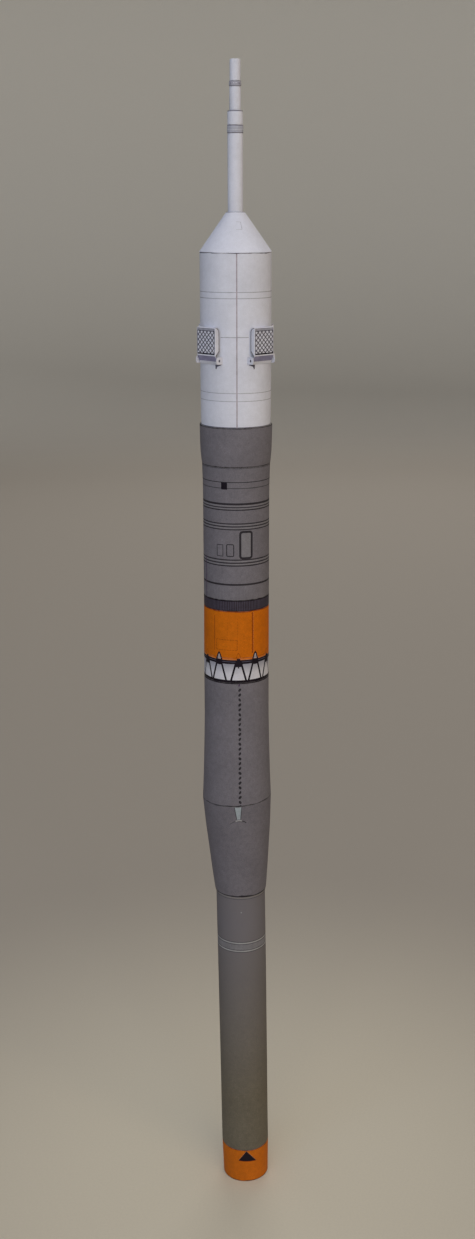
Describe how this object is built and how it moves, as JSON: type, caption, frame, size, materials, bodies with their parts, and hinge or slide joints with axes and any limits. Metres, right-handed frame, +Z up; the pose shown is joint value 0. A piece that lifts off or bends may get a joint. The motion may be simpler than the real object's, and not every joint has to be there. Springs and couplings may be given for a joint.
{
  "type": "paper model of a space rocket",
  "caption": "Tall slim card model of a staged launch rocket with a narrow escape tower and folded grid fins, glued from rolled tubes and standing on its flat round base.",
  "frame": {"origin": "middle of the flat base, on the surface that the model stands on", "axes": "+Z up along the standing model, -Y towards the face with the door outline, +X to the right as seen from that face"},
  "size_m": [0.0342, 0.0324, 0.4981],
  "materials": {
    "white_card": "matte white printed card with thin grey lines",
    "grey_card": "matte warm grey printed card with dark lines",
    "dark_card": "matte dark grey printed card with fine upright lines",
    "orange_card": "matte orange printed card",
    "truss_card": "matte white card with a black printed truss",
    "fin_card": "matte white card with a printed dark lattice",
    "band_card": "matte pale grey printed card",
    "board": "bare greyish board"
  },
  "bodies": {
    "root": {"Base_Tube": "orange_card", "Base_Disc": "board", "Core_Lower_Tube": "grey_card", "Waist_Cone": "grey_card", "Core_Upper_Tube": "grey_card", "Truss_Band": "truss_card", "Orange_Skirt": "orange_card", "Fluted_Band": "dark_card", "Third_Stage": "grey_card", "Adapter": "grey_card", "Fairing_Tube": "white_card", "Fairing_Cone": "white_card", "Grid_Fin_1": "fin_card", "Grid_Fin_2": "fin_card", "Grid_Fin_3": "fin_card", "Grid_Fin_4": "fin_card", "Fin_Ear_1A": "fin_card", "Fin_Ear_1B": "fin_card", "Fin_Ear_2A": "fin_card", "Fin_Ear_2B": "fin_card", "Fin_Ear_3A": "fin_card", "Fin_Ear_3B": "fin_card", "Fin_Ear_4A": "fin_card", "Fin_Ear_4B": "fin_card", "Tower_Tube": "white_card", "Tower_Striped_Band": "band_card", "Tower_Collar": "white_card", "Tower_Upper_Tube": "white_card", "Tower_Nozzle_Band": "band_card", "Tower_Tip": "white_card"}
  },
  "joints": []
}
